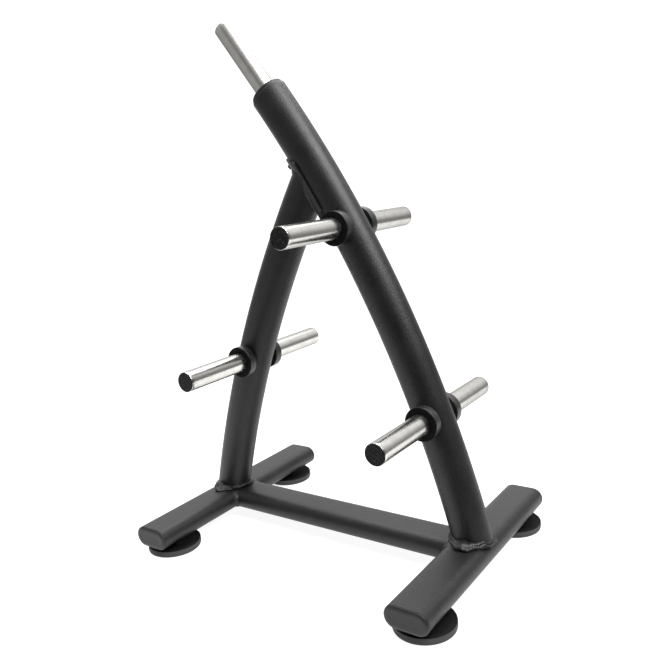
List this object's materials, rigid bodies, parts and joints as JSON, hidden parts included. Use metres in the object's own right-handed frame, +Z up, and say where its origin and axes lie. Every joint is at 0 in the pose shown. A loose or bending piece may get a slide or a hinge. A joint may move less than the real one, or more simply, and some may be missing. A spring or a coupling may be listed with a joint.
{
  "type": "plate tree",
  "caption": "Free-standing A-frame storage tree for bored weight plates: curved oval uprights on an H base with round rubber feet, paired bright horns with stop rings and a horn on top.",
  "frame": {"origin": "middle of the footprint, on the floor under the feet", "axes": "+X from the rear cross tube to the front cross tube, +Y along the cross tubes and horns, +Z up"},
  "size_m": [0.847, 0.62, 1.2623],
  "materials": {
    "black_powder_coat": "fine satin powder coat",
    "bright_horn": "bright plated tube with faint lengthwise and turned streaks",
    "black_rubber": "moulded rubber, matte",
    "black_plastic": "fine moulded grain",
    "black_fastener": "black oxide",
    "zinc_steel": "zinc plated",
    "inner_steel": "bare welded plate"
  },
  "bodies": {
    "root": {"base_connecting_tube": "black_powder_coat", "connecting_tube_front_weld": "black_powder_coat", "connecting_tube_rear_weld": "black_powder_coat", "foot_screws": "zinc_steel", "foot_washers": "zinc_steel", "foot_weld_nuts": "zinc_steel", "front_cross_tube": "black_powder_coat", "front_cross_tube_cap_left": "black_plastic", "front_cross_tube_cap_right": "black_plastic", "front_foot_left": "black_rubber", "front_foot_right": "black_rubber", "front_lower_horn_cap_left": "black_plastic", "front_lower_horn_cap_right": "black_plastic", "front_lower_horn_left": "bright_horn", "front_lower_horn_right": "bright_horn", "front_lower_stop_ring_left": "black_rubber", "front_lower_stop_ring_right": "black_rubber", "front_top_horn_cap_left": "black_plastic", "front_top_horn_cap_right": "black_plastic", "front_top_horn_left": "bright_horn", "front_top_horn_right": "bright_horn", "front_top_stop_ring_left": "black_rubber", "front_top_stop_ring_right": "black_rubber", "front_upright": "black_powder_coat", "front_upright_weld": "black_powder_coat", "joint_bolts": "black_fastener", "joint_saddle_plate": "black_powder_coat", "joint_washers": "black_fastener", "joint_weld_nuts": "zinc_steel", "rear_cross_tube": "black_powder_coat", "rear_cross_tube_cap_left": "black_plastic", "rear_cross_tube_cap_right": "black_plastic", "rear_foot_left": "black_rubber", "rear_foot_right": "black_rubber", "rear_horn_cap_left": "black_plastic", "rear_horn_cap_right": "black_plastic", "rear_horn_left": "bright_horn", "rear_horn_right": "bright_horn", "rear_stop_ring_left": "black_rubber", "rear_stop_ring_right": "black_rubber", "rear_upright": "black_powder_coat", "rear_upright_weld": "black_powder_coat", "saddle_plate_weld": "black_powder_coat", "top_horn": "bright_horn", "top_horn_cap": "black_plastic", "top_horn_discs": "inner_steel", "upright_collar_cap": "black_plastic"}
  },
  "joints": []
}
